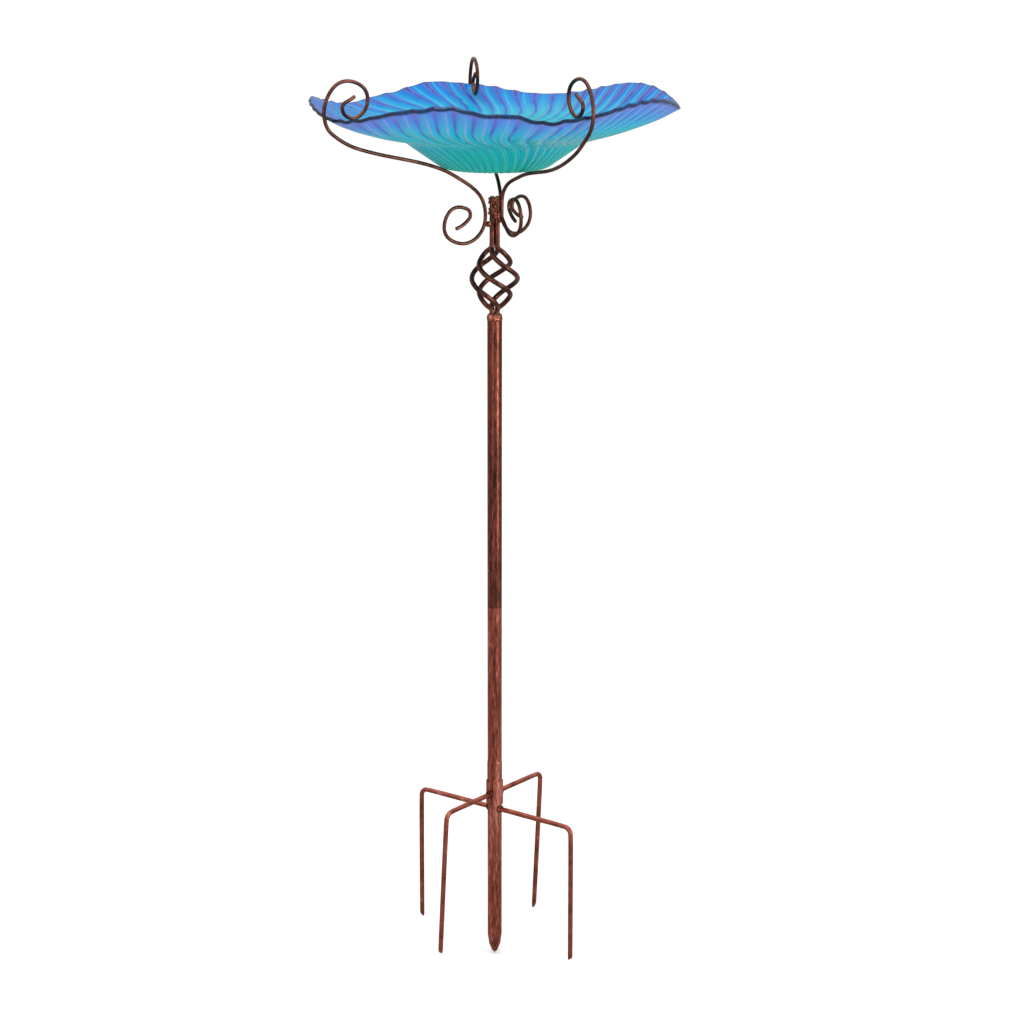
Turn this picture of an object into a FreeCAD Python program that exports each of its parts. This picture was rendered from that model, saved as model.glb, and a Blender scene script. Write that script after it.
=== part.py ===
import FreeCAD, Part
import math
import os

from FreeCAD import Vector

# Garden bird bath on a spiked pole. The origin is on the pole's axis at the soil line, +Z up, and the
# front of the bath faces -Y. All lengths are in millimetres and all angles in degrees.

# Pole
pole_diameter = 15.9
pole_wall = 1.2
pole_top = 552.0
joint_height = 236.0
shoulder_height = 1.0
slide_clearance = 0.05
seat_gap = 0.3

# Double-ended pin in the pole's mid joint
pin_reach = 35.0
lead_in = 1.2

# Lower end of the pole, expanded by this much to slip over the spigot
socket_growth = 0.7
socket_bottom = 22.0
socket_length = 34.0
socket_flare = 3.0

# Ground spike, with a neck inside the collar that is thinner by this much
spike_length = 168.0
spike_point_length = 22.0
spike_neck_step = 0.7
spike_top = 20.0
spigot_grip = 18.0

# Split collar round the pole's foot, clear of it by this much
collar_clearance = 0.1
collar_wall = 1.1
collar_bottom = 8.8
collar_height = 26.8
collar_slot = 3.5
collar_slot_azimuth = 251.0

# Side prongs
prong_diameter = 5.5
prong_bend = 9.0
prong_end_slant = 35.0
low_prong_height = 3.3
high_prong_height = 21.0
low_prong_reach = 107.0
high_prong_reach = 88.0
low_prong_depth = 152.0
high_prong_depth = 143.0
high_prong_lean = 2.6
low_prong_azimuths = (-39.0, 141.0)
high_prong_azimuths = (233.5, 53.5)
prong_weld_width = 0.5
prong_weld_height = 2.4

# Four rods that make the stem, the twisted basket and the tails, which fill the pole's bore
rod_clearance = 0.11
basket_lift = 10.0
basket_height = 71.0
stem_height = 52.0
basket_radius = 24.8
basket_turn = 270.0
basket_fullness = 1.15
basket_spans = 8
tail_length = 30.0
top_weld_height = 8.0
top_weld_bulge = 0.35

# Spring wire of the three arms, and the beads that weld them to the stem
wire_diameter = 4.0
arm_weld_lift = 32.0
arm_weld_radius = 3.3
arm_weld_length = 15.0
arm_weld_offset = 1.4
arm_start = 11.0
arm_foot_reach = 65.0
arm_lift_end = 44.0
sag_shift = 1.4

# Rods and wires have this many sides, and turn by at most this angle from one flat run to the next
bar_sides = 8
lump_sides = 8
bend_step = 24.0

# Glass bowl
bowl_radius = 196.3
bowl_foot_radius = 46.0
bowl_lift = 29.3
glass_thickness = 3.8
well_radius = 98.0
well_rise = 30.5
rim_rise = 68.0
ruffle_count = 5
ruffle_height = 8.0
ruffle_azimuth = 36.0
ruffle_growth = 1.6
rim_tilt = 4.5
rim_tilt_azimuth = 325.0
rim_rounding = 0.95
bowl_facets = 60

# Values that follow from the ones above
pole_radius = pole_diameter / 2
pole_bore = pole_radius - pole_wall
pin_radius = pole_bore - slide_clearance
socket_radius = pole_radius + socket_growth / 2
socket_bore = socket_radius - pole_wall
spigot_radius = socket_bore - slide_clearance
rod_radius = (pole_bore - rod_clearance) / (1 + math.sqrt(2))
bundle_radius = rod_radius * math.sqrt(2)
prong_radius = prong_diameter / 2
wire_radius = wire_diameter / 2
collar_radius = socket_radius + collar_clearance + collar_wall
neck_radius = pole_radius - spike_neck_step / 2
basket_bottom = pole_top + basket_lift
basket_top = basket_bottom + basket_height
stem_top = basket_top + stem_height
arm_weld_height = basket_top + arm_weld_lift
bowl_foot_height = stem_top + bowl_lift
rim_top = bowl_foot_height + rim_rise + glass_thickness
UP = Vector(0, 0, 1)


def heading(azimuth):
    """Level unit vector at an azimuth, counted from +X towards +Y."""
    angle = math.radians(azimuth)
    return Vector(math.cos(angle), math.sin(angle), 0)


def turned(profile):
    """Solid of revolution about Z from a closed outline of (radius, height) points."""
    points = [Vector(r, 0, z) for r, z in profile]
    solid = Part.Face(Part.makePolygon(points + points[:1])).revolve(Vector(0, 0, 0), UP, 360)
    if solid.Volume < 0:
        solid.reverse()
    return solid


def bend_points(start, corner, end):
    """Points along the round bend from start to end whose tangents meet at corner."""
    middle = (start + end) * 0.5
    rise = corner - middle
    half_chord = (end - start).Length / 2
    half_turn = math.atan2(rise.Length, half_chord)
    steps = max(1, math.ceil(2 * half_turn / math.radians(bend_step)))
    if half_turn < 1e-3:
        return [end]
    radius = half_chord / math.sin(half_turn)
    inward = rise * (-1 / rise.Length)
    centre = middle + inward * (radius * math.cos(half_turn))
    across = (end - start).normalize()
    points = []
    for i in range(1, steps + 1):
        angle = half_turn * (2 * i / steps - 1)
        points.append(centre + across * (radius * math.sin(angle)) - inward * (radius * math.cos(angle)))
    return points


def bend_pair(start, start_way, end, end_way):
    """Points along two tangent bends from one point and direction to another."""
    span = end - start
    ways = start_way + end_way
    turn = 2 * (1 - start_way.dot(end_way))
    along = span.dot(ways)
    if turn < 1e-9:
        reach = span.dot(span) / (4 * span.dot(end_way))
    else:
        reach = (math.sqrt(along * along + turn * span.dot(span)) - along) / turn
    first_corner = start + start_way * reach
    second_corner = end - end_way * reach
    joint = (first_corner + second_corner) * 0.5
    return bend_points(start, first_corner, joint) + bend_points(joint, second_corner, end)


def way_through(before, point, after):
    """Direction at point of the circle through three points."""
    back = point - before
    ahead = after - point
    way = back * (ahead.Length / back.Length) + ahead * (back.Length / ahead.Length)
    return way.normalize()


def smooth_path(points, first_way=None, last_way=None):
    """Close-set points along a chain of tangent bends through the given points."""
    ways = [way_through(*points[i - 1:i + 2]) for i in range(1, len(points) - 1)]
    ways.insert(0, first_way or (points[1] - points[0]).normalize())
    ways.append(last_way or (points[-1] - points[-2]).normalize())
    path = [points[0]]
    for i in range(len(points) - 1):
        path += bend_pair(points[i], ways[i], points[i + 1], ways[i + 1])
    return path


def rod_along(path, radius):
    """Rod with a many-sided section along a path of points, mitred where the path turns."""
    ways = [(b - a).normalize() for a, b in zip(path, path[1:])]
    side = ways[0].cross(UP if abs(ways[0].z) < 0.9 else Vector(1, 0, 0)).normalize()
    rings = []
    for i, point in enumerate(path):
        way = ways[min(i, len(ways) - 1)]
        last = ways[max(i - 1, 0)]
        mitre = way + last
        side = (side - last * side.dot(last)).normalize()
        other = last.cross(side)
        ring = []
        for k in range(bar_sides):
            angle = 2 * math.pi * (k + 0.5) / bar_sides
            offset = (side * math.cos(angle) + other * math.sin(angle)) * radius
            ring.append(point + offset - last * (offset.dot(mitre) / last.dot(mitre)))
        rings.append(ring)
        side = side - mitre * (side.dot(mitre) / way.dot(mitre))
    return skinned(rings)


def skinned(rings):
    """Closed solid from a row of rings of points, with flat panels between them and flat ends."""
    faces = []
    for ring in (rings[0], rings[-1]):
        faces.append(Part.Face(Part.makePolygon(ring + ring[:1])))
    for near, far in zip(rings, rings[1:]):
        for k in range(len(near)):
            after = (k + 1) % len(near)
            panel = [near[k], near[after], far[after], far[k]]
            faces += flat_panels(panel)
    skin = Part.makeCompound(faces)
    skin.sewShape()
    solid = Part.makeSolid(skin.Shells[0])
    if solid.Volume < 0:
        solid.reverse()
    return solid


def flat_panels(corners):
    """One flat face through four corners, or two where they aren't level with each other."""
    a, b, c, d = corners
    lean = (b - a).cross(c - a)
    if abs(lean.dot(d - a)) < 1e-8 * lean.Length:
        return [Part.Face(Part.makePolygon([a, b, c, d, a]))]
    return [Part.Face(Part.makePolygon([a, b, c, a])), Part.Face(Part.makePolygon([a, c, d, a]))]


def faceted(profile):
    """Upright many-sided lump from a row of (radius, height) points."""
    rings = []
    for radius, height in profile:
        rings.append([heading(360.0 * k / lump_sides) * radius + UP * height for k in range(lump_sides)])
    return skinned(rings)


def bead(centre, radius, height):
    """Lemon-shaped weld bead, standing upright."""
    solid = faceted([(radius * 0.3, -height * 0.5), (radius * 0.85, -height * 0.28), (radius, 0),
                     (radius * 0.85, height * 0.28), (radius * 0.3, height * 0.5)])
    solid.translate(centre)
    return solid


def wall_bead(centre, way, radius, height):
    """Low dome of weld on a wall, pointing out along way."""
    crown = [(radius * 0.85, height * 0.6), (radius * 0.6, height)]
    solid = faceted([(radius, -radius * 0.5), (radius, 0)] + crown)
    solid.Placement = FreeCAD.Placement(centre, FreeCAD.Rotation(UP, way))
    return solid


# ---------------------------------------------------------------- pole

def make_upper_pole():
    bottom = joint_height + shoulder_height / 2 + seat_gap
    outer = [(pole_radius, bottom), (pole_radius, pole_top)]
    return turned([(pole_bore, bottom)] + outer + [(pole_bore, pole_top)])


def make_lower_pole():
    top = joint_height - shoulder_height / 2 - seat_gap
    flare_top = socket_bottom + socket_length + socket_flare
    flare_bottom = socket_bottom + socket_length
    outer = [(socket_radius, socket_bottom), (socket_radius, flare_bottom), (pole_radius, flare_top)]
    inner = [(pole_bore, flare_top), (socket_bore, flare_bottom), (socket_bore, socket_bottom)]
    return turned(outer + [(pole_radius, top), (pole_bore, top)] + inner)


def make_connector_pin():
    """Pin that joins the two pole tubes, with a flush shoulder between them."""
    low_shoulder = joint_height - shoulder_height / 2
    high_shoulder = joint_height + shoulder_height / 2
    tip = pin_radius - lead_in
    lower = [(0, joint_height - pin_reach), (tip, joint_height - pin_reach)]
    lower += [(pin_radius, joint_height - pin_reach + lead_in), (pin_radius, low_shoulder)]
    shoulder = [(pole_radius, low_shoulder), (pole_radius, high_shoulder)]
    upper = [(pin_radius, high_shoulder), (pin_radius, joint_height + pin_reach - lead_in)]
    upper += [(tip, joint_height + pin_reach), (0, joint_height + pin_reach)]
    return turned(lower + shoulder + upper)


# ---------------------------------------------------------------- foot

def make_ground_spike():
    """Tube with a closed, rounded point. Its neck sits inside the collar."""
    tip = -spike_length
    point_top = tip + spike_point_length
    wall_top = 0.0
    point = [(0, tip), (pole_radius * 0.4, tip + spike_point_length * 0.12)]
    point += [(pole_radius * 0.8, tip + spike_point_length * 0.5), (pole_radius, point_top)]
    wall = [(pole_radius, wall_top), (neck_radius, wall_top), (neck_radius, spike_top)]
    bore = [(pole_bore, spike_top), (pole_bore, point_top), (0, point_top)]
    return turned(point + wall + bore)


def make_base_spigot():
    """Plug gripped by the spike's tube. The lower pole slides over it."""
    bottom = spike_top - spigot_grip
    top = socket_bottom + socket_length - lead_in
    plug = [(0, bottom), (pole_bore, bottom), (pole_bore, spike_top)]
    neck = [(spigot_radius, spike_top), (spigot_radius, top - lead_in)]
    return turned(plug + neck + [(spigot_radius - lead_in, top), (0, top)])


def make_prong_collar():
    """Rolled ferrule, open along one narrow slot."""
    inner = collar_radius - collar_wall
    top = collar_bottom + collar_height
    outer = [(collar_radius, collar_bottom), (collar_radius, top)]
    ring = turned([(inner, collar_bottom)] + outer + [(inner, top)])
    corner = Vector(0, -collar_slot / 2, collar_bottom - collar_wall)
    slot = Part.makeBox(collar_radius * 2, collar_slot, collar_height + collar_wall * 2, corner)
    slot.rotate(Vector(0, 0, 0), UP, collar_slot_azimuth)
    return ring.cut(slot)


def make_prong(azimuth, wall_radius, height, reach, depth, lean):
    """Rod that leaves the foot level, bends down and ends in a slanted cut."""
    out = heading(azimuth)
    down = Vector(-math.sin(math.radians(lean)), 0, -math.cos(math.radians(lean)))
    start = out * (wall_radius - prong_radius / 2) + UP * height
    corner = out * reach + UP * height
    bend_start = corner - out * prong_bend
    bend_end = corner + down * prong_bend
    tip = corner + down * ((height + depth) / -down.z)
    path = [start, bend_start] + bend_points(bend_start, corner, bend_end) + [tip]
    rod = rod_along(path, prong_radius)
    rod = rod.cut(Part.makeCylinder(wall_radius, prong_diameter * 2, Vector(0, 0, height - prong_diameter)))
    slant = FreeCAD.Rotation(out.cross(UP), prong_end_slant)
    side = prong_diameter * 8
    waste = Part.makeBox(side, side, side, Vector(-side / 2, -side / 2, -side))
    waste.Placement = FreeCAD.Placement(tip + UP * prong_radius, slant)
    return rod.cut(waste)


def make_prong_welds(wall_radius, height, azimuths, prongs):
    """Beads round the butted ends of one pair of prongs."""
    core = Part.makeCylinder(wall_radius, prong_diameter * 4, Vector(0, 0, height - prong_diameter * 2))
    beads = []
    for azimuth, prong in zip(azimuths, prongs):
        out = heading(azimuth)
        foot = out * wall_radius + UP * height
        weld = wall_bead(foot, out, prong_radius + prong_weld_width, prong_weld_height)
        beads.append(weld.cut(core).cut(prong))
    return Part.makeCompound(beads)


# ---------------------------------------------------------------- stem and basket

def basket_point(start_azimuth, share):
    """Centre of one rod at a share of the basket's height, counted from the top."""
    swell = math.sin(math.pi * share) ** basket_fullness
    radius = bundle_radius + (basket_radius - bundle_radius) * swell
    height = basket_top + (basket_bottom - basket_top) * share
    return heading(start_azimuth + basket_turn * share) * radius + UP * height


def make_basket_rod(start_azimuth):
    """Rod that runs down the stem, round the basket and into the pole."""
    top = heading(start_azimuth) * bundle_radius + UP * stem_top
    points = [basket_point(start_azimuth, i / basket_spans) for i in range(basket_spans + 1)]
    tail = heading(start_azimuth + basket_turn) * bundle_radius + UP * (basket_bottom - tail_length)
    return rod_along([top] + smooth_path(points, -UP, -UP) + [tail], rod_radius)


def make_pole_top_weld(rods):
    """Bulge of weld that closes the pole's mouth round the four rods."""
    height = top_weld_height
    bulge = pole_radius + top_weld_bulge
    crown = [(bulge * 0.94, height * 0.75), (bulge * 0.71, height)]
    dome = faceted([(pole_radius, 0), (bulge, height * 0.3)] + crown)
    dome.translate(UP * pole_top)
    for rod in rods:
        dome = dome.cut(rod)
    return dome


# ---------------------------------------------------------------- arms

# One bent shape for all three arms. The scroll runs from its free end to the weld: distance out from the
# weld, and height above it.
scroll_shape = [
    (36.0, -11.5), (26.5, -7.5), (18.6, 3.5), (29.8, 11.3), (50.6, -9.0), (28.0, -28.0), (4.0, -15.0),
]
# The rise runs from the weld to below the bowl's well: distance from the pole's axis, and height over the
# bowl's foot.
rise_shape = [(15.0, -29.3), (24.5, -18.3), (38.5, -8.8), (arm_foot_reach, 5.9)]
# The reach runs under the wall: share of the way to the rim, and height over the foot.
reach_shape = [(0.362, 18.7), (0.739, 31.2), (0.8835, 40.2), (1.013, 56.2)]
# The hook goes round the rim to its free end: distance and height from the rim's upper edge.
hook_shape = [
    (2.0, -1.1), (-27.3, 25.4), (-48.3, 7.9), (-41.3, -9.1), (-29.3, -13.1), (-18.8, -3.1), (-33.3, 9.4),
]


class Arm:
    """Where one arm stands, and how its bends differ from the common shape."""

    def __init__(self, weld_azimuth, weld_gap, azimuth, scroll_azimuth, scroll_lift, hook_lift, sag):
        distance = bundle_radius + rod_radius + wire_radius + weld_gap
        self.weld = heading(weld_azimuth) * distance + UP * arm_weld_height
        self.azimuth = azimuth
        self.scroll_azimuth = scroll_azimuth
        self.scroll_lift = scroll_lift
        self.hook_lift = hook_lift
        self.sag = sag

    def scroll_points(self):
        level = self.weld + UP * self.scroll_lift
        return [level + heading(self.scroll_azimuth) * s + UP * z for s, z in scroll_shape]

    def reach_points(self):
        """Points from the weld to the free end, in the arm's own upright plane."""
        foot = bowl_foot_height - wire_radius
        line = [(r, foot + z) for r, z in rise_shape]
        width = bowl_radius - arm_foot_reach
        line += [(arm_foot_reach + width * share, foot + z) for share, z in reach_shape]
        line += [(bowl_radius + wire_radius + r, rim_top + wire_radius + z) for r, z in hook_shape]
        out = heading(self.azimuth)
        plane = self.weld - out * self.weld.dot(out) - UP * arm_weld_height
        stray = self.weld.dot(out) - arm_start
        points = []
        furthest = 0.0
        for r, z in line:
            near = max(0.0, 1.0 - (r - arm_start) / arm_lift_end)
            furthest = min(1.0, max(furthest, (r - arm_start) / (bowl_radius - arm_start)))
            change = self.hook_lift * furthest ** 2 + self.scroll_lift * near
            change -= self.sag * math.sin(math.pi * furthest ** sag_shift) ** 2
            points.append(plane + out * (r + stray * near) + UP * (z + change))
        return points


arms = {
    "left_scroll_arm": Arm(210.1, 2.34, 210.0, 210.0, 0.0, 0.0, 0.0),
    "right_scroll_arm": Arm(326.3, 0.38, 298.0, 293.5, 10.0, 7.5, 11.0),
    "rear_scroll_arm": Arm(37.9, 0.0, 100.1, 51.0, 5.0, 3.0, 0.0),
}


def make_arm(arm):
    scroll = smooth_path(arm.scroll_points() + [arm.weld], None, UP)
    reach = smooth_path([arm.weld] + arm.reach_points(), UP, None)
    return rod_along(scroll + reach[1:], wire_radius)


def make_arm_welds(arm_solids, rods):
    """One upright bead between each arm and the stem."""
    beads = []
    for name, arm in arms.items():
        level = Vector(arm.weld.x, arm.weld.y, 0)
        gap = level.Length - wire_radius - rod_radius
        foot = level.normalize() * (rod_radius + gap / 2 + arm_weld_offset)
        weld = bead(foot + UP * arm_weld_height, arm_weld_radius, arm_weld_length).cut(arm_solids[name])
        for rod in rods:
            weld = weld.cut(rod)
        beads += weld.Solids
    return Part.makeCompound(beads)


# ---------------------------------------------------------------- bowl

def ruffle(azimuth):
    """How far the rim stands above its mean height at an azimuth."""
    wave = math.cos(math.radians(ruffle_count * (azimuth - ruffle_azimuth)))
    tilt = math.cos(math.radians(azimuth - rim_tilt_azimuth))
    return ruffle_height * wave + rim_tilt * tilt


def bowl_ring(radius, height):
    """Closed ring of points round the bowl, wavier the nearer it is to the rim."""
    share = max(0.0, (radius - well_radius) / (bowl_radius - well_radius))
    strength = share ** ruffle_growth
    points = []
    for i in range(bowl_facets):
        azimuth = 360.0 * i / bowl_facets
        points.append(heading(azimuth) * radius + UP * (height + strength * ruffle(azimuth)))
    return points


# Underside of the bowl: shares of the width and the rise of the well, and then of the wall.
well_curve = [(0.0, 0.0), (0.18, 0.07), (0.40, 0.32), (0.72, 0.70), (1.0, 1.0)]
wall_curve = [(0.33, 0.23), (0.70, 0.60), (1.0, 1.0)]


def bowl_outline():
    """Underside of the bowl from foot to rim, as (radius, height) points."""
    well_width = well_radius - bowl_foot_radius
    well = [(bowl_foot_radius + well_width * r, bowl_foot_height + well_rise * z) for r, z in well_curve]
    wall_width = bowl_radius - well_radius
    kink = bowl_foot_height + well_rise
    wall = [(well_radius + wall_width * r, kink + (rim_rise - well_rise) * z) for r, z in wall_curve]
    return well + wall


def make_glass_bowl():
    """Ruffled bowl of even thickness, with a flat foot and a step between the well and the wall."""
    under = bowl_outline()
    upper = []
    for i, (r, z) in enumerate(under):
        before = under[max(i - 1, 0)]
        after = under[min(i + 1, len(under) - 1)]
        run = after[0] - before[0]
        rise = after[1] - before[1]
        length = math.hypot(run, rise)
        if i == 0:
            run, rise, length = 1.0, 0.0, 1.0
        upper.append((r - rise / length * glass_thickness, z + run / length * glass_thickness))
    rings = [bowl_ring(r, z) for r, z in under]
    lip = [(a + b) / 2 + rim_rounding for a, b in zip(under[-1], upper[-1])]
    rings.append(bowl_ring(*lip))
    rings += [bowl_ring(r, z) for r, z in reversed(upper)]
    return skinned(rings)


# ---------------------------------------------------------------- write every piece

def build():
    rods = [make_basket_rod(45.0 + 90.0 * i) for i in range(4)]
    arm_solids = {name: make_arm(arm) for name, arm in arms.items()}
    low = (neck_radius, low_prong_height, low_prong_reach, low_prong_depth, 0.0)
    high = (collar_radius, high_prong_height, high_prong_reach, high_prong_depth, high_prong_lean)
    low_prongs = [make_prong(azimuth, *low) for azimuth in low_prong_azimuths]
    high_prongs = [make_prong(azimuth, *high) for azimuth in high_prong_azimuths]
    pieces = {
        "glass_bowl": make_glass_bowl(),
        "arm_welds": make_arm_welds(arm_solids, rods),
        "pole_top_weld": make_pole_top_weld(rods),
        "upper_pole": make_upper_pole(),
        "connector_pin": make_connector_pin(),
        "lower_pole": make_lower_pole(),
        "base_spigot": make_base_spigot(),
        "prong_collar": make_prong_collar(),
        "ground_spike": make_ground_spike(),
        "front_right_prong": low_prongs[0],
        "rear_left_prong": low_prongs[1],
        "front_left_prong": high_prongs[0],
        "rear_right_prong": high_prongs[1],
        "spike_welds": make_prong_welds(neck_radius, low_prong_height, low_prong_azimuths, low_prongs),
        "collar_welds": make_prong_welds(collar_radius, high_prong_height, high_prong_azimuths, high_prongs),
    }
    pieces.update(arm_solids)
    for i, rod in enumerate(rods):
        pieces["basket_rod_%d" % (i + 1)] = rod
    os.makedirs("parts", exist_ok=True)
    for name, shape in pieces.items():
        if not shape.isValid():
            raise ValueError(name + " is not a valid solid")
        shape.exportStep("parts/%s.step" % name)


build()
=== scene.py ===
import math

import bpy
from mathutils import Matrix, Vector, noise


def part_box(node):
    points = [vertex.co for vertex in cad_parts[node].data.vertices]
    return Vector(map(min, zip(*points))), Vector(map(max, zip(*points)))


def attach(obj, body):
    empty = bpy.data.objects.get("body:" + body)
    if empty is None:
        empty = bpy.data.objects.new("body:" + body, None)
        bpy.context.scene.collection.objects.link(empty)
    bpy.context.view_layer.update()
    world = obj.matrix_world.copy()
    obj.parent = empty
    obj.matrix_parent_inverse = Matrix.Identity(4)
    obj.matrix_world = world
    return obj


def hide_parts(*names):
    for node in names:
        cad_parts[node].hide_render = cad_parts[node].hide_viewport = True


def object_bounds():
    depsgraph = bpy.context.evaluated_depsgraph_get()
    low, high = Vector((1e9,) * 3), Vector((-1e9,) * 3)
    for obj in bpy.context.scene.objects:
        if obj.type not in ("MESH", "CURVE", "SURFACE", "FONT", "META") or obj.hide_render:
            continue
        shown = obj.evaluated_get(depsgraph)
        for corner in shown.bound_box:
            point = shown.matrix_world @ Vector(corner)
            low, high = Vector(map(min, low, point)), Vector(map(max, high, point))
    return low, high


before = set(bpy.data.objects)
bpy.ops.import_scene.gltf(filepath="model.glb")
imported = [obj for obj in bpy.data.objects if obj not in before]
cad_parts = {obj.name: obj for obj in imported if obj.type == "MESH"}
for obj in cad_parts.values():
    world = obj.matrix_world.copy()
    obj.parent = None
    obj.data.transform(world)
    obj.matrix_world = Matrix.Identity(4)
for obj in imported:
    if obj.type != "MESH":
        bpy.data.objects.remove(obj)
cad_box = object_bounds()

# ---------------------------------------------------------------- sizes, in metres

# Glass bowl: a level foot, a well, and a wall that opens out to a ruffled rim
bowl_low, bowl_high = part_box("glass_bowl")
BOWL_RADIUS = bowl_high[0]
FOOT_HEIGHT = bowl_low[2]
FOOT_RADIUS = 0.046
WELL_RADIUS = 0.098
WELL_RISE = 0.0305
RIM_RISE = 0.068
GLASS_THICKNESS = 0.0034
WALL_RINGS = 54
CENTRE_RADIUS = 0.012
FOOT_CLEARANCE = 0.0002
RIM_MARGIN = 0.0022
RIM_ROUNDING = 0.0014
RIM_BAND_START = 0.982
RIM_BAND_EDGE = 0.0006

# Ruffles of the rim, azimuths in degrees
RUFFLES = 5
RUFFLE_HEIGHT = 0.008
RUFFLE_AZIMUTH = 36.0
RIM_TILT = 0.0045
RIM_TILT_AZIMUTH = 325.0

# Flutes pressed in the wall; their swirl is in degrees of turn
FLUTES = 56
FACETS_PER_FLUTE = 8
FLUTE_DEPTH_RIM = 0.0022
FLUTE_DEPTH_WELL = 0.0010
FLUTE_MIDDLE = 0.36
FLUTE_DROP = 0.9
FLUTE_LEAN = 0.45
WELL_SWIRL = 15.0
RIM_SWIRL = 5.0
RIM_SWIRL_SWING = 3.5
RIM_SWIRL_AZIMUTH = 130.0

# Wires, rods and welds
WIRE_RADIUS = 0.002
ROD_RADIUS = 0.00275
BAR_ROUNDING = 0.09
SHARP_ANGLE = 50.0
BRAZE_LENGTH = 0.050
BRAZE_CORE = 0.0013
BRAZE_STEPS = 40
BRIDGE_SAG = 0.009

# Colours, as linear red, green, blue and alpha
COPPER_BROWN = (0.240, 0.085, 0.050, 1.0)
COPPER_RED = (0.400, 0.088, 0.053, 1.0)
COPPER_FLECK = (0.70, 0.27, 0.19, 1.0)
SKIN_DARK = (0.012, 0.005, 0.004, 1.0)
SKIN_LIGHT = (0.075, 0.026, 0.017, 1.0)
STEEL_DARK = (0.30, 0.29, 0.28, 1.0)
STEEL_LIGHT = (0.52, 0.50, 0.48, 1.0)
# painted highlight colours for the pale lines beside the flutes: cyan on the inner skin, lilac on the outer
GLASS_CYAN_PAINTED_GLINT = (0.020, 0.560, 0.860, 1.0)
GLASS_LILAC_PAINTED_GLINT = (0.300, 0.330, 0.660, 1.0)
GLASS_LAVENDER = (0.170, 0.235, 0.640, 1.0)
GLASS_RIM = (0.001, 0.012, 0.040, 1.0)
FLOOR_PALE = (0.93, 0.93, 0.93, 1.0)
FLOOR_IN_METAL = (0.30, 0.30, 0.30, 1.0)


# ---------------------------------------------------------------- modelling helpers

def deselect():
    if bpy.context.object and bpy.context.object.mode != "OBJECT":
        bpy.ops.object.mode_set(mode="OBJECT")
    bpy.ops.object.select_all(action="DESELECT")


def pick(obj):
    deselect()
    obj.select_set(True)
    bpy.context.view_layer.objects.active = obj


def apply_modifier(obj, kind, **values):
    """Add a modifier, set its values and apply it."""
    pick(obj)
    modifier = obj.modifiers.new(kind.lower(), kind)
    for name, value in values.items():
        setattr(modifier, name, value)
    bpy.ops.object.modifier_apply(modifier=modifier.name)


def smooth(obj, angle=35.0):
    pick(obj)
    bpy.ops.object.shade_smooth_by_angle(angle=math.radians(angle))


def dress(obj, material):
    obj.data.materials.clear()
    obj.data.materials.append(material)


def merged_copy(node, name):
    """Copy of a CAD node's mesh with its facets joined up and its flat panels whole."""
    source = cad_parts[node]
    piece = source.copy()
    piece.data = source.data.copy()
    piece.name = name
    piece.parent = None
    for key in list(piece.keys()):
        del piece[key]
    bpy.context.scene.collection.objects.link(piece)
    if piece.data.has_custom_normals:
        pick(piece)
        bpy.ops.mesh.customdata_custom_splitnormals_clear()
    pick(piece)
    bpy.ops.object.mode_set(mode="EDIT")
    bpy.ops.mesh.select_all(action="SELECT")
    bpy.ops.mesh.remove_doubles(threshold=1e-6)
    bpy.ops.mesh.tris_convert_to_quads(face_threshold=math.radians(2.0), shape_threshold=math.radians(80.0))
    bpy.ops.object.mode_set(mode="OBJECT")
    return piece


# ---------------------------------------------------------------- shader helpers

def new_group(name, inputs, outputs):
    """Empty shader node group with named sockets, and its input and output nodes."""
    group = bpy.data.node_groups.new(name, "ShaderNodeTree")
    for label, kind, value in inputs:
        socket = group.interface.new_socket(label, in_out="INPUT", socket_type=kind)
        socket.default_value = value
    for label, kind in outputs:
        group.interface.new_socket(label, in_out="OUTPUT", socket_type=kind)
    return group, group.nodes.new("NodeGroupInput"), group.nodes.new("NodeGroupOutput")


def add(tree, kind, **values):
    """Node with its properties and input defaults set."""
    node = tree.nodes.new(kind)
    for name, value in values.items():
        if hasattr(node, name):
            setattr(node, name, value)
        else:
            node.inputs[name.replace("_", " ")].default_value = value
    return node


def ramp(tree, stops, interpolation="LINEAR"):
    node = tree.nodes.new("ShaderNodeValToRGB")
    node.color_ramp.interpolation = interpolation
    while len(node.color_ramp.elements) < len(stops):
        node.color_ramp.elements.new(0.5)
    for element, (position, colour) in zip(node.color_ramp.elements, stops):
        element.position = position
        element.color = colour
    return node


def grey(value):
    return (value, value, value, 1.0)


def mix_colour(tree, factor, a, b, blend="MIX"):
    node = tree.nodes.new("ShaderNodeMix")
    node.data_type = "RGBA"
    node.blend_type = blend
    for socket, value in ((node.inputs[0], factor), (node.inputs[6], a), (node.inputs[7], b)):
        if isinstance(value, (float, int, tuple)):
            socket.default_value = value
        else:
            tree.links.new(value, socket)
    return node.outputs[2]


def maths(tree, operation, a, b=None, clamp=False):
    node = tree.nodes.new("ShaderNodeMath")
    node.operation = operation
    node.use_clamp = clamp
    for socket, value in ((node.inputs[0], a), (node.inputs[1], b)):
        if value is None:
            continue
        if isinstance(value, (float, int)):
            socket.default_value = value
        else:
            tree.links.new(value, socket)
    return node.outputs[0]


# ---------------------------------------------------------------- metal finishes

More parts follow.
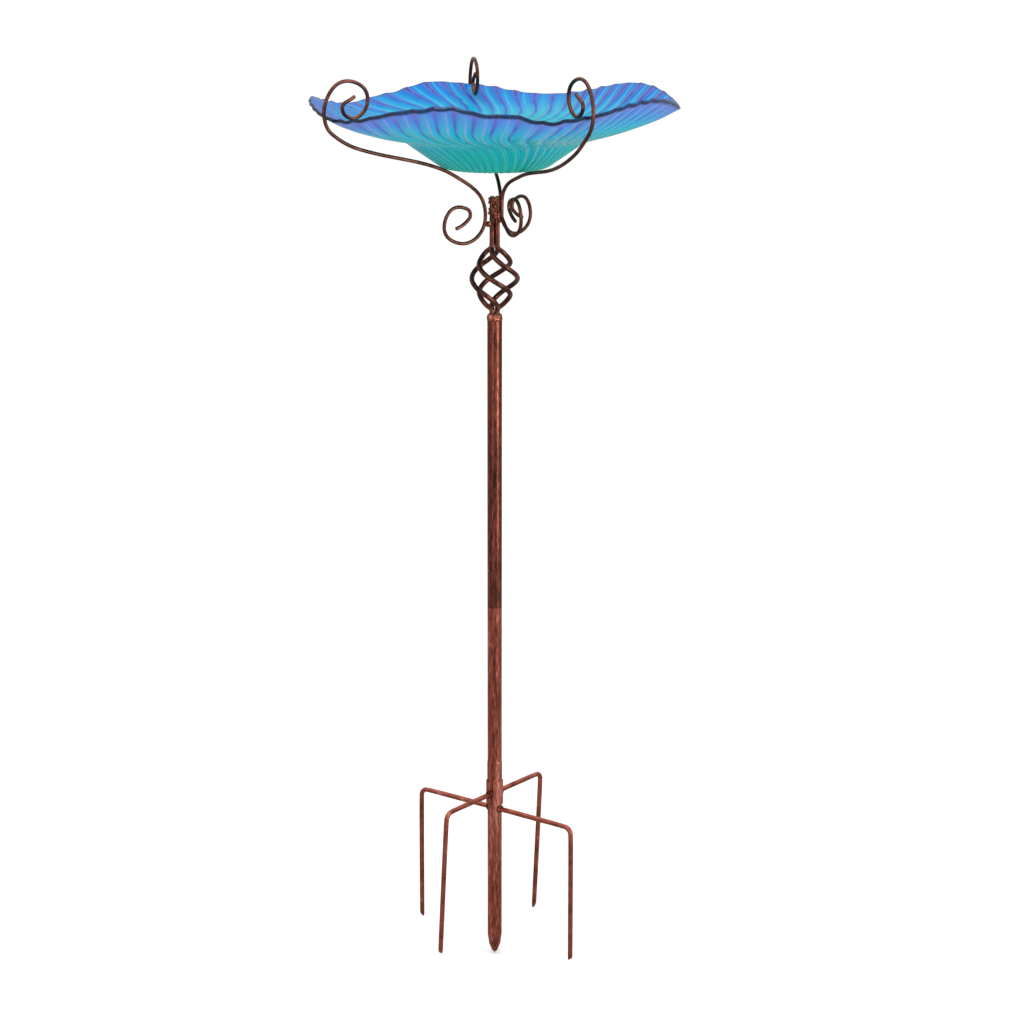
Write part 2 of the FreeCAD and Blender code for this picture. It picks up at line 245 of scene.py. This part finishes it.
def make_patina_group():
    """Antique copper: near-black brown skin, reddish rubs, bright flecks where it is rubbed through."""
    group, inputs, outputs = new_group(
        "antique_copper",
        [("Vector", "NodeSocketVector", (0.0, 0.0, 0.0)), ("Rub", "NodeSocketFloat", 0.5),
         ("Patches", "NodeSocketFloat", 0.9), ("Redness", "NodeSocketFloat", 0.5)],
        [("Color", "NodeSocketColor"), ("Roughness", "NodeSocketFloat"), ("Height", "NodeSocketFloat")])
    vector = inputs.outputs["Vector"]
    clouds = add(group, "ShaderNodeTexNoise", Scale=70.0, Detail=5.0, Roughness=0.6)
    speckle = add(group, "ShaderNodeTexNoise", Scale=700.0, Detail=3.0, Roughness=0.7)
    pits = add(group, "ShaderNodeTexVoronoi", Scale=520.0)
    for node in (clouds, speckle, pits):
        group.links.new(vector, node.inputs["Vector"])
    cloud = maths(group, "SUBTRACT", clouds.outputs["Fac"], 0.5)
    wear = maths(group, "ADD", maths(group, "MULTIPLY", cloud, inputs.outputs["Patches"]),
                 maths(group, "MULTIPLY", speckle.outputs["Fac"], 0.45))
    wear = maths(group, "ADD", wear, maths(group, "SUBTRACT", inputs.outputs["Rub"], 0.23))
    rubbed = ramp(group, [(0.30, grey(0.0)), (0.50, grey(0.35)), (0.72, grey(1.0))])
    flecks = ramp(group, [(0.77, grey(0.0)), (0.92, grey(1.0))])
    group.links.new(wear, rubbed.inputs["Fac"])
    group.links.new(wear, flecks.inputs["Fac"])
    copper = mix_colour(group, inputs.outputs["Redness"], COPPER_BROWN, COPPER_RED)
    skin = mix_colour(group, speckle.outputs["Fac"], SKIN_DARK, SKIN_LIGHT)
    colour = mix_colour(group, rubbed.outputs["Color"], skin, copper)
    colour = mix_colour(group, flecks.outputs["Color"], colour, COPPER_FLECK)
    group.links.new(colour, outputs.inputs["Color"])
    rough = maths(group, "MULTIPLY_ADD", speckle.outputs["Fac"], 0.26)
    rough.node.inputs[2].default_value = 0.20
    group.links.new(rough, outputs.inputs["Roughness"])
    height = maths(group, "ADD", maths(group, "MULTIPLY", clouds.outputs["Fac"], 0.6),
                   maths(group, "MULTIPLY", speckle.outputs["Fac"], 0.3))
    height = maths(group, "ADD", height, maths(group, "MULTIPLY", pits.outputs["Distance"], 0.15))
    group.links.new(height, outputs.inputs["Height"])
    return group


def make_streak_group():
    """Long streaks along the pole over broad worn patches, all drawn out in Z."""
    group, inputs, outputs = new_group(
        "pole_streaks",
        [("Vector", "NodeSocketVector", (0.0, 0.0, 0.0)), ("Length", "NodeSocketFloat", 0.06)],
        [("Fac", "NodeSocketFloat")])
    parts = group.nodes.new("ShaderNodeSeparateXYZ")
    group.links.new(inputs.outputs["Vector"], parts.inputs[0])
    total = None
    for scale, stretch, weight in ((240.0, 1.0, 0.40), (1100.0, 1.6, 0.75), (60.0, 3.0, 0.35)):
        drawn = group.nodes.new("ShaderNodeCombineXYZ")
        group.links.new(parts.outputs[0], drawn.inputs[0])
        group.links.new(parts.outputs[1], drawn.inputs[1])
        length = maths(group, "MULTIPLY", inputs.outputs["Length"], stretch)
        group.links.new(maths(group, "MULTIPLY", parts.outputs[2], length), drawn.inputs[2])
        grain = add(group, "ShaderNodeTexNoise", Scale=scale, Detail=4.0, Roughness=0.6)
        group.links.new(drawn.outputs[0], grain.inputs["Vector"])
        part = maths(group, "MULTIPLY", maths(group, "SUBTRACT", grain.outputs["Fac"], 0.5), weight)
        total = part if total is None else maths(group, "ADD", total, part)
    group.links.new(total, outputs.inputs["Fac"])
    return group


PATINA = make_patina_group()
STREAKS = make_streak_group()


def patina_metal(name, rub, redness, bump, streaks=0.0):
    """Metal in the antique copper finish under a thin clear lacquer.

    rub is how far the dark skin is worn away, from 0 to 1, and streaks how strongly it varies along a pole.
    """
    material = bpy.data.materials.new(name)
    material.use_nodes = True
    tree = material.node_tree
    shader = tree.nodes["Principled BSDF"]
    place = tree.nodes.new("ShaderNodeTexCoord")
    patina = tree.nodes.new("ShaderNodeGroup")
    patina.node_tree = PATINA
    patina.inputs["Redness"].default_value = redness
    if streaks:
        patina.inputs["Patches"].default_value = 0.5
        drawn = tree.nodes.new("ShaderNodeMapping")
        drawn.inputs["Scale"].default_value = (1.0, 1.0, 0.10)
        tree.links.new(place.outputs["Object"], drawn.inputs["Vector"])
        tree.links.new(drawn.outputs["Vector"], patina.inputs["Vector"])
        lines = tree.nodes.new("ShaderNodeGroup")
        lines.node_tree = STREAKS
        tree.links.new(place.outputs["Object"], lines.inputs["Vector"])
        swing = maths(tree, "MULTIPLY", lines.outputs["Fac"], streaks)
        tree.links.new(maths(tree, "ADD", swing, rub), patina.inputs["Rub"])
    else:
        tree.links.new(place.outputs["Object"], patina.inputs["Vector"])
        patina.inputs["Rub"].default_value = rub
    tree.links.new(patina.outputs["Color"], shader.inputs["Base Color"])
    tree.links.new(patina.outputs["Roughness"], shader.inputs["Roughness"])
    shader.inputs["Metallic"].default_value = 0.9
    shader.inputs["Specular IOR Level"].default_value = 0.25
    shader.inputs["Coat Weight"].default_value = 0.12
    shader.inputs["Coat Roughness"].default_value = 0.10
    relief = add(tree, "ShaderNodeBump", Strength=bump, Distance=0.0004)
    tree.links.new(patina.outputs["Height"], relief.inputs["Height"])
    tree.links.new(relief.outputs["Normal"], shader.inputs["Normal"])
    return material


ARM_METAL = patina_metal("arm_copper", 0.50, 0.25, bump=0.35)
ROD_METAL = patina_metal("stem_copper", 0.46, 0.45, bump=0.6)
WELD_METAL = patina_metal("weld_copper", 0.68, 0.4, bump=0.9)
BURNT_WELD_METAL = patina_metal("burnt_weld_copper", 0.52, 0.6, bump=0.9)
POLE_METAL = patina_metal("pole_copper", 0.51, 0.75, streaks=1.5, bump=0.3)
LOW_POLE_METAL = patina_metal("lower_pole_copper", 0.70, 0.85, streaks=1.7, bump=0.3)
FOOT_METAL = patina_metal("foot_copper", 0.74, 0.9, streaks=1.6, bump=0.3)
PRONG_METAL = patina_metal("prong_copper", 0.69, 0.8, bump=0.4)


def bare_steel():
    """Turned steel with fine rings round it, from streaks laid across Z."""
    material = bpy.data.materials.new("bare_steel")
    material.use_nodes = True
    tree = material.node_tree
    shader = tree.nodes["Principled BSDF"]
    shader.inputs["Metallic"].default_value = 1.0
    place = tree.nodes.new("ShaderNodeTexCoord")
    lines = tree.nodes.new("ShaderNodeGroup")
    lines.node_tree = STREAKS
    lines.inputs["Length"].default_value = 6.0
    tree.links.new(place.outputs["Object"], lines.inputs["Vector"])
    worn = maths(tree, "ADD", lines.outputs["Fac"], 0.5)
    tint = ramp(tree, [(0.3, STEEL_DARK), (0.7, STEEL_LIGHT)])
    tree.links.new(worn, tint.inputs["Fac"])
    tree.links.new(tint.outputs["Color"], shader.inputs["Base Color"])
    rough = ramp(tree, [(0.3, grey(0.26)), (0.7, grey(0.46))])
    tree.links.new(worn, rough.inputs["Fac"])
    tree.links.new(rough.outputs["Color"], shader.inputs["Roughness"])
    relief = add(tree, "ShaderNodeBump", Strength=0.3, Distance=0.0001)
    tree.links.new(lines.outputs["Fac"], relief.inputs["Height"])
    tree.links.new(relief.outputs["Normal"], shader.inputs["Normal"])
    return material


STEEL = bare_steel()


# ---------------------------------------------------------------- glass

def flute_line(tree, sine, cosine, turn):
    """Mask along the flutes: 1 at a share of a flute's width from its groove, and 0 half a flute away."""
    square = maths(tree, "ADD", maths(tree, "MULTIPLY", sine, sine), maths(tree, "MULTIPLY", cosine, cosine))
    length = maths(tree, "SQRT", square)
    angle = 2.0 * math.pi * turn
    along = maths(tree, "SUBTRACT", maths(tree, "MULTIPLY", cosine, math.cos(angle)),
                  maths(tree, "MULTIPLY", sine, math.sin(angle)))
    along = maths(tree, "DIVIDE", along, length)
    half = maths(tree, "MULTIPLY", maths(tree, "SUBTRACT", 1.0, along), 0.5)
    return maths(tree, "SUBTRACT", 1.0, maths(tree, "SQRT", half))


def bowl_glass():
    """Fluted art glass: green in the well, turquoise and azure on the wall, cobalt and lilac at the rim."""
    material = bpy.data.materials.new("fluted_glass")
    material.use_nodes = True
    tree = material.node_tree
    shader = tree.nodes["Principled BSDF"]
    place = tree.nodes.new("ShaderNodeTexCoord")

    # marks written on the bowl's mesh by mark_bowl
    marks = {}
    for name in ("outwards", "flute_sine", "flute_cosine", "rim", "outside"):
        mark = tree.nodes.new("ShaderNodeAttribute")
        mark.attribute_name = name
        marks[name] = mark.outputs["Fac"]
    grown = ramp(tree, [(0.12, grey(0.0)), (0.32, grey(1.0))])
    tree.links.new(marks["outwards"], grown.inputs["Fac"])
    sine, cosine = marks["flute_sine"], marks["flute_cosine"]
    flute = maths(tree, "MULTIPLY", flute_line(tree, sine, cosine, 0.0), grown.outputs["Color"])
    # mask for the lines of painted highlight, a little way from each groove
    painted_glint = maths(tree, "MULTIPLY", flute_line(tree, sine, cosine, 0.42), grown.outputs["Color"])

    # bands of colour outwards from the centre, shifted by broad and fine drifts and by the flutes
    drift = add(tree, "ShaderNodeTexNoise", Scale=16.0, Detail=3.0, Roughness=0.6)
    mottle = add(tree, "ShaderNodeTexNoise", Scale=75.0, Detail=4.0, Roughness=0.6)
    tree.links.new(place.outputs["Object"], drift.inputs["Vector"])
    tree.links.new(place.outputs["Object"], mottle.inputs["Vector"])
    swing = maths(tree, "MULTIPLY", maths(tree, "SUBTRACT", drift.outputs["Fac"], 0.5), 0.30)
    shiver = maths(tree, "MULTIPLY", maths(tree, "SUBTRACT", mottle.outputs["Fac"], 0.5), 0.16)
    groove = maths(tree, "MULTIPLY", maths(tree, "SUBTRACT", flute, 0.55), 0.24)
    reach = maths(tree, "ADD", maths(tree, "ADD", marks["outwards"], swing),
                  maths(tree, "ADD", shiver, groove))
    bands = ramp(tree, [
        (0.04, (0.035, 0.340, 0.160, 1.0)), (0.24, (0.001, 0.370, 0.320, 1.0)),
        (0.44, (0.001, 0.390, 0.430, 1.0)), (0.60, (0.001, 0.450, 0.600, 1.0)),
        (0.76, (0.001, 0.330, 0.670, 1.0)), (0.90, (0.008, 0.180, 0.680, 1.0)),
        (1.00, (0.100, 0.180, 0.630, 1.0))])
    tree.links.new(reach, bands.inputs["Fac"])

    # dark lines in the grooves, and pale lines of painted highlight beside them
    line = ramp(tree, [(0.70, grey(0.0)), (0.84, grey(1.0)), (0.92, grey(1.0)), (0.97, grey(0.35))])
    tree.links.new(flute, line.inputs["Fac"])
    patchy = ramp(tree, [(0.36, grey(0.25)), (0.60, grey(1.0))])
    tree.links.new(mottle.outputs["Fac"], patchy.inputs["Fac"])
    strength = maths(tree, "MULTIPLY", line.outputs["Color"], patchy.outputs["Color"])
    upward = ramp(tree, [(0.30, grey(0.20)), (0.55, grey(0.75)), (0.95, grey(1.0))])
    tree.links.new(marks["outwards"], upward.inputs["Fac"])
    strength = maths(tree, "MULTIPLY", strength, upward.outputs["Color"])
    deep = ramp(tree, [(0.35, (0.002, 0.140, 0.130, 1.0)), (0.60, (0.010, 0.060, 0.260, 1.0)),
                       (0.90, (0.050, 0.026, 0.230, 1.0))])
    tree.links.new(marks["outwards"], deep.inputs["Fac"])
    lined = mix_colour(tree, strength, bands.outputs["Color"], deep.outputs["Color"])
    # pale lines of painted highlight beside the grooves, shown in broad patches
    pale = ramp(tree, [(0.78, grey(0.0)), (0.90, grey(1.0))])
    tree.links.new(painted_glint, pale.inputs["Fac"])
    clear = ramp(tree, [(0.40, grey(0.10)), (0.58, grey(0.80))])
    tree.links.new(drift.outputs["Fac"], clear.inputs["Fac"])
    painted_glint_amount = maths(tree, "MULTIPLY", pale.outputs["Color"], clear.outputs["Color"])
    painted_glint_colour = mix_colour(tree, marks["outside"], GLASS_CYAN_PAINTED_GLINT, GLASS_LILAC_PAINTED_GLINT)
    lined = mix_colour(tree, painted_glint_amount, lined, painted_glint_colour)

    # lavender haze on the outside near the rim, and the dark fire-polished edge
    haze = ramp(tree, [(0.62, grey(0.0)), (0.96, grey(0.55))])
    tree.links.new(marks["outwards"], haze.inputs["Fac"])
    veil = maths(tree, "MULTIPLY", haze.outputs["Color"], marks["outside"])
    lined = mix_colour(tree, veil, lined, GLASS_LAVENDER)
    colour = mix_colour(tree, marks["rim"], lined, GLASS_RIM)
    tree.links.new(colour, shader.inputs["Base Color"])

    rough = ramp(tree, [(0.3, grey(0.05)), (0.7, grey(0.17))])
    tree.links.new(mottle.outputs["Fac"], rough.inputs["Fac"])
    polish = maths(tree, "MULTIPLY_ADD", marks["rim"], -0.7)
    polish.node.inputs[2].default_value = 1.0
    tree.links.new(maths(tree, "MULTIPLY", rough.outputs["Color"], polish), shader.inputs["Roughness"])
    shader.inputs["Specular IOR Level"].default_value = 0.16
    shader.inputs["Transmission Weight"].default_value = 0.28
    shader.inputs["IOR"].default_value = 1.30
    gloss = maths(tree, "MULTIPLY_ADD", marks["rim"], 0.2)
    gloss.node.inputs[2].default_value = 0.10
    tree.links.new(gloss, shader.inputs["Coat Weight"])
    shader.inputs["Coat Roughness"].default_value = 0.05
    ripple = add(tree, "ShaderNodeTexNoise", Scale=120.0, Detail=2.0)
    tree.links.new(place.outputs["Object"], ripple.inputs["Vector"])
    relief = add(tree, "ShaderNodeBump", Strength=0.45, Distance=0.0008)
    crease = maths(tree, "MULTIPLY", line.outputs["Color"], 0.5)
    tree.links.new(maths(tree, "SUBTRACT", ripple.outputs["Fac"], crease), relief.inputs["Height"])
    tree.links.new(relief.outputs["Normal"], shader.inputs["Normal"])
    return material


GLASS = bowl_glass()


def ruffle(azimuth):
    """Height of the rim above its mean at an azimuth in degrees."""
    wave = math.cos(math.radians(RUFFLES * (azimuth - RUFFLE_AZIMUTH)))
    tilt = math.cos(math.radians(azimuth - RIM_TILT_AZIMUTH))
    return RUFFLE_HEIGHT * wave + RIM_TILT * tilt


def front_waves(azimuth):
    """Small extra waves that the rim has at the front and at the rear left."""
    front = math.exp(-(((azimuth % 360.0) - 271.0) / 22.0) ** 2)
    rear = math.exp(-(((azimuth % 360.0) - 120.0) / 30.0) ** 2)
    lift = front * (0.0024 + 0.0024 * math.cos(math.radians(18.0 * (azimuth - 256.0))))
    return lift + rear * 0.0012 * math.cos(math.radians(16.0 * azimuth))


def ease(value):
    value = min(1.0, max(0.0, value))
    return value * value * (3.0 - 2.0 * value)


def through(a, b, c, d, t):
    """Value a share t of the way from b to c, on a smooth curve through a, b, c and d."""
    bend = a - 2.5 * b + 2.0 * c - 0.5 * d
    twist = 1.5 * (b - c) + 0.5 * (d - a)
    return b + t * ((c - a) / 2.0 + t * (bend + t * twist))


def wall_profile():
    """Middle line of the wall from near the centre to the rim, as (radius, height) pairs."""
    base = FOOT_HEIGHT + GLASS_THICKNESS / 2 + FOOT_CLEARANCE
    kink = base + WELL_RISE
    rim = base + RIM_RISE
    well = WELL_RADIUS - FOOT_RADIUS
    wall = BOWL_RADIUS - WELL_RADIUS
    corners = [
        (CENTRE_RADIUS, base), (FOOT_RADIUS * 0.6, base), (FOOT_RADIUS, base + 0.0003),
        (FOOT_RADIUS + well * 0.18, base + WELL_RISE * 0.07),
        (FOOT_RADIUS + well * 0.40, base + WELL_RISE * 0.32),
        (FOOT_RADIUS + well * 0.72, base + WELL_RISE * 0.70), (WELL_RADIUS, kink),
        (WELL_RADIUS + wall * 0.33, kink + (rim - kink) * 0.23),
        (WELL_RADIUS + wall * 0.70, kink + (rim - kink) * 0.60), (BOWL_RADIUS - RIM_MARGIN, rim)]
    reach = [0.0]
    for a, b in zip(corners, corners[1:]):
        reach.append(reach[-1] + math.dist(a, b))
    points = []
    for i in range(WALL_RINGS + 1):
        goal = reach[-1] * i / WALL_RINGS
        k = max(j for j in range(len(reach) - 1) if reach[j] <= goal + 1e-9)
        t = (goal - reach[k]) / (reach[k + 1] - reach[k])
        p0, p1 = corners[max(k - 1, 0)], corners[k]
        p2, p3 = corners[k + 1], corners[min(k + 2, len(corners) - 1)]
        points.append([through(a, b, c, d, t) for a, b, c, d in zip(p0, p1, p2, p3)])
    return points


def flute_phase(azimuth, share):
    """Flutes counted round the bowl from +X, along lines that swirl between rim and well."""
    first = RIM_SWIRL + RIM_SWIRL_SWING * math.cos(math.radians(azimuth - RIM_SWIRL_AZIMUTH))
    swirl = WELL_SWIRL * ease((0.80 - share) / 0.52) - first * ease((1.0 - share) / 0.36)
    wander = (1.4 * math.sin(math.radians(3.0 * azimuth + 160.0 * share))
              + 0.9 * math.sin(math.radians(7.0 * azimuth)))
    return (azimuth - swirl + wander) * FLUTES / 360.0


def groove_of(azimuth, share):
    """0 on the crown of a flute and 1 in the groove between two."""
    return 1.0 - abs(math.sin(math.pi * flute_phase(azimuth, share)))


def flute_sink(azimuth, share):
    """Depth of the pressed flutes below the middle line of the wall, negative on a crown."""
    depth = FLUTE_DEPTH_WELL + (FLUTE_DEPTH_RIM - FLUTE_DEPTH_WELL) * share
    depth *= ease((share - 0.14) / 0.22)
    depth *= 1.0 - 0.45 * ease((share - 0.86) / 0.14) * (1.0 + math.sin(math.radians(11.0 * azimuth)))
    return depth * (groove_of(azimuth, share) - FLUTE_MIDDLE)


def write_mark(mesh, name, values):
    """Write one number for each of the mesh's points, for a material to read."""
    mark = mesh.attributes.new(name, "FLOAT", "POINT")
    mark.data.foreach_set("value", values)


def make_bowl():
    """Disc drawn out ring by ring into a bowl, ruffled at the rim and pressed into swirling flutes."""
    profile = wall_profile()
    deselect()
    bpy.ops.mesh.primitive_circle_add(
        vertices=FLUTES * FACETS_PER_FLUTE, radius=profile[0][0], fill_type="TRIFAN",
        location=(0, 0, profile[0][1]))
    bowl = bpy.context.object
    bowl.name = "fluted_glass_bowl"
    bpy.ops.object.transform_apply(location=True, rotation=False, scale=False)
    bpy.ops.object.mode_set(mode="EDIT")
    bpy.ops.mesh.select_mode(type="EDGE")
    bpy.ops.mesh.select_all(action="DESELECT")
    bpy.ops.mesh.select_non_manifold()
    for (near, low), (far, high) in zip(profile, profile[1:]):
        bpy.ops.mesh.extrude_edges_move()
        growth = far / near
        bpy.ops.transform.resize(value=(growth, growth, 1.0), center_override=(0.0, 0.0, 0.0))
        bpy.ops.transform.translate(value=(0.0, 0.0, high - low))
    bpy.ops.mesh.select_mode(type="VERT")
    bpy.ops.mesh.select_all(action="SELECT")
    bpy.ops.mesh.normals_make_consistent(inside=False)
    bpy.ops.object.mode_set(mode="OBJECT")
    for vertex in bowl.data.vertices:
        x, y, z = vertex.co
        radius = math.hypot(x, y)
        azimuth = math.degrees(math.atan2(y, x))
        share = radius / BOWL_RADIUS
        climb = max(0.0, (radius - WELL_RADIUS) / (BOWL_RADIUS - WELL_RADIUS))
        lift = climb ** 1.6 * ruffle(azimuth) + climb ** 2.5 * front_waves(azimuth)
        sink = flute_sink(azimuth, share)
        vertex.co.z += lift + sink * FLUTE_DROP
        shrink = 1.0 - sink * FLUTE_LEAN / max(radius, 0.01)
        vertex.co.x *= shrink
        vertex.co.y *= shrink
    apply_modifier(bowl, "SOLIDIFY", thickness=GLASS_THICKNESS, offset=0.0)
    apply_modifier(bowl, "BEVEL", width=RIM_ROUNDING, segments=3, limit_method="ANGLE",
                   angle_limit=math.radians(65.0))
    mark_bowl(bowl.data)
    smooth(bowl, 60.0)
    dress(bowl, GLASS)
    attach(bowl, "upper_section")
    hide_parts("glass_bowl")


def mark_bowl(mesh):
    """Marks for the glass: distance outwards, place across a flute, rim band and outer skin."""
    rim_line = BOWL_RADIUS * RIM_BAND_START
    outwards, sine, cosine, rim, outside = [], [], [], [], []
    for vertex in mesh.vertices:
        radius = math.hypot(vertex.co.x, vertex.co.y)
        azimuth = math.degrees(math.atan2(vertex.co.y, vertex.co.x))
        radius += flute_sink(azimuth, min(1.0, radius / BOWL_RADIUS)) * FLUTE_LEAN
        share = min(1.0, radius / BOWL_RADIUS)
        under = ease(0.5 - vertex.normal.z * 2.0)
        outside.append(under)
        outwards.append(share - 2.2 * max(0.0, share - 0.5) * (1.0 - share) * under)
        turn = 2.0 * math.pi * flute_phase(azimuth, share)
        sine.append(math.sin(turn))
        cosine.append(math.cos(turn))
        rim.append(ease((radius - rim_line) / RIM_BAND_EDGE))
    write_mark(mesh, "outwards", outwards)
    write_mark(mesh, "flute_sine", sine)
    write_mark(mesh, "flute_cosine", cosine)
    write_mark(mesh, "rim", rim)
    write_mark(mesh, "outside", outside)


# ---------------------------------------------------------------- rods and wires

def make_round(node, name, body, material, radius):
    """Smooth round bar from a CAD bar with flat sides."""
    piece = merged_copy(node, name)
    bpy.ops.object.mode_set(mode="EDIT")
    bpy.ops.mesh.select_all(action="SELECT")
    bpy.ops.transform.shrink_fatten(value=radius * BAR_ROUNDING)
    bpy.ops.mesh.select_mode(type="EDGE")
    bpy.ops.mesh.select_all(action="DESELECT")
    bpy.ops.mesh.edges_select_sharp(sharpness=math.radians(SHARP_ANGLE))
    bpy.ops.transform.edge_crease(value=0.8)
    bpy.ops.mesh.select_mode(type="VERT")
    bpy.ops.object.mode_set(mode="OBJECT")
    apply_modifier(piece, "SUBSURF", levels=2, render_levels=2)
    smooth(piece, SHARP_ANGLE)
    dress(piece, material)
    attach(piece, body)
    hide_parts(node)


def make_weld(node, name, body, grain, swelling, growth, material=WELD_METAL, sag=0.0):
    """Lumpy weld metal over a CAD bead, grown outwards only, clear of the pole inside it.

    A sag lowers and flattens the bead left of the stem into a level bridge.
    """
    weld = merged_copy(node, name)
    bead = [vertex for vertex in weld.data.vertices if vertex.co.x < -0.004] if sag else []
    if bead:
        middle = sum((vertex.co for vertex in bead), Vector()) / len(bead)
        for vertex in bead:
            vertex.co = middle + (vertex.co - middle) * Vector((1.35, 1.2, 0.40)) - Vector((0.0, 0.0, sag))
    apply_modifier(weld, "REMESH", mode="VOXEL", voxel_size=grain)
    apply_modifier(weld, "SMOOTH", factor=0.6, iterations=3)
    for vertex in weld.data.vertices:
        swell = noise.noise(vertex.co * 420.0) * 0.55 + noise.noise(vertex.co * 900.0) * 0.25
        if vertex.normal.xy.dot(vertex.co.xy) > 0.0:
            vertex.co += vertex.normal * (swell * swelling + growth)
    smooth(weld, 80.0)
    dress(weld, material)
    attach(weld, body)
    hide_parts(node)


def make_stem_braze():
    """Brazing metal run down between the four rods of the stem."""
    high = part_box("basket_rod_1")[1]
    top = high[2] - 0.0012
    bottom = top - BRAZE_LENGTH
    deselect()
    bpy.ops.mesh.primitive_circle_add(
        vertices=16, radius=BRAZE_CORE, fill_type="NGON", location=(0, 0, bottom))
    braze = bpy.context.object
    braze.name = "stem_braze"
    bpy.ops.object.transform_apply(location=True, rotation=False, scale=False)
    bpy.ops.object.mode_set(mode="EDIT")
    bpy.ops.mesh.select_all(action="SELECT")
    for step in range(BRAZE_STEPS):
        bpy.ops.mesh.extrude_region_move()
        bpy.ops.transform.translate(value=(0.0, 0.0, (top - bottom) / BRAZE_STEPS))
    bpy.ops.mesh.select_all(action="SELECT")
    bpy.ops.mesh.normals_make_consistent(inside=False)
    bpy.ops.object.mode_set(mode="OBJECT")
    for vertex in braze.data.vertices:
        x, y, z = vertex.co
        height = (z - bottom) / (top - bottom)
        lump = ease((height - 0.35) / 0.25)
        valley = abs(math.cos(2.0 * math.atan2(y, x))) ** 0.7
        grain = noise.noise(Vector((x * 3.0, y * 3.0, z)) * 260.0)
        swell = 1.0 + 4.6 * valley * lump * (0.80 + 0.7 * grain)
        vertex.co.x *= swell
        vertex.co.y *= swell
    smooth(braze, 80.0)
    dress(braze, WELD_METAL)
    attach(braze, "upper_section")


# ---------------------------------------------------------------- put it together

make_bowl()
for side in ("left", "right", "rear"):
    make_round(side + "_scroll_arm", side + "_scroll_wire", "upper_section",
               ARM_METAL, WIRE_RADIUS)
for number in range(1, 5):
    make_round("basket_rod_%d" % number, "twisted_rod_%d" % number, "upper_section",
               ROD_METAL, ROD_RADIUS)
for side in ("front_left", "front_right", "rear_left", "rear_right"):
    make_round(side + "_prong", side + "_prong_rod", "stake", PRONG_METAL, ROD_RADIUS)
make_stem_braze()
make_weld("arm_welds", "arm_weld_beads", "upper_section",
          grain=0.0005, swelling=0.0007, growth=0.0002, sag=BRIDGE_SAG)
make_weld("pole_top_weld", "pole_top_bead", "upper_section",
          grain=0.0005, swelling=0.0011, growth=0.0003)
for place in ("collar", "spike"):
    make_weld(place + "_welds", place + "_beads", "stake",
              grain=0.0004, swelling=0.0026, growth=0.0018, material=BURNT_WELD_METAL)

for node, material in (
        ("upper_pole", POLE_METAL), ("lower_pole", LOW_POLE_METAL), ("connector_pin", POLE_METAL),
        ("ground_spike", FOOT_METAL), ("prong_collar", FOOT_METAL), ("base_spigot", STEEL)):
    dress(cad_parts[node], material)


# ---------------------------------------------------------------- studio

def make_floor():
    """Pale matt floor just under the tips, greyer where it is mirrored in metal."""
    low = cad_box[0]
    bpy.ops.mesh.primitive_plane_add(size=80.0, location=(0.0, 20.0, low[2] - 0.0005))
    floor = bpy.context.object
    floor.name = "studio_floor"
    material = bpy.data.materials.new("pale_floor")
    material.use_nodes = True
    tree = material.node_tree
    shader = tree.nodes["Principled BSDF"]
    shader.inputs["Roughness"].default_value = 0.9
    path = tree.nodes.new("ShaderNodeLightPath")
    shade = mix_colour(tree, path.outputs["Is Glossy Ray"], FLOOR_PALE, FLOOR_IN_METAL)
    tree.links.new(shade, shader.inputs["Base Color"])
    floor.data.materials.append(material)


def add_softbox(name, place, aim, size, power):
    light = bpy.data.lights.new(name, "AREA")
    light.shape = "RECTANGLE"
    light.size, light.size_y = size
    light.energy = power
    lamp = bpy.data.objects.new(name, light)
    bpy.context.scene.collection.objects.link(lamp)
    lamp.location = place
    lamp.rotation_euler = (Vector(aim) - Vector(place)).to_track_quat("-Z", "Y").to_euler()


def make_studio():
    """White room, brightest overhead, with a tall softbox each side of the bath and a square one above."""
    make_floor()
    world = bpy.data.worlds.new("studio")
    bpy.context.scene.world = world
    world.use_nodes = True
    tree = world.node_tree
    sky = tree.nodes["Background"]
    place = tree.nodes.new("ShaderNodeTexCoord")
    parts = tree.nodes.new("ShaderNodeSeparateXYZ")
    tree.links.new(place.outputs["Generated"], parts.inputs[0])
    height = maths(tree, "MAXIMUM", parts.outputs[2], 0.0)
    glow = maths(tree, "MULTIPLY_ADD", height, 1.25)
    glow.node.inputs[2].default_value = 0.28
    path = tree.nodes.new("ShaderNodeLightPath")
    shown = maths(tree, "MAXIMUM", glow, path.outputs["Is Camera Ray"])
    tree.links.new(shown, sky.inputs["Strength"])
    sky.inputs["Color"].default_value = (1.0, 1.0, 1.0, 1.0)
    add_softbox("right_softbox", (1.9, -1.5, 0.75), (0.0, 0.0, 0.4), (0.45, 1.8), 28.0)
    add_softbox("left_softbox", (-1.2, -2.2, 0.75), (0.0, 0.0, 0.4), (0.16, 1.7), 9.0)
    add_softbox("top_softbox", (-0.4, -0.6, 2.8), (0.0, 0.0, 0.7), (1.2, 1.2), 16.0)
    bpy.context.scene.view_settings.view_transform = "Standard"


def make_camera():
    """Camera 3 m in front of the bath, a little above it and looking down."""
    camera_data = bpy.data.cameras.new("view")
    camera_data.lens = 100.14
    camera_data.sensor_width = 36.0
    camera_data.shift_x = 0.0155
    camera = bpy.data.objects.new("view", camera_data)
    bpy.context.scene.collection.objects.link(camera)
    camera.location = (0.0, -3.0, 1.058)
    camera.rotation_euler = (math.radians(90.0 - 13.4), 0.0, 0.0)
    bpy.context.scene.camera = camera


make_studio()
make_camera()
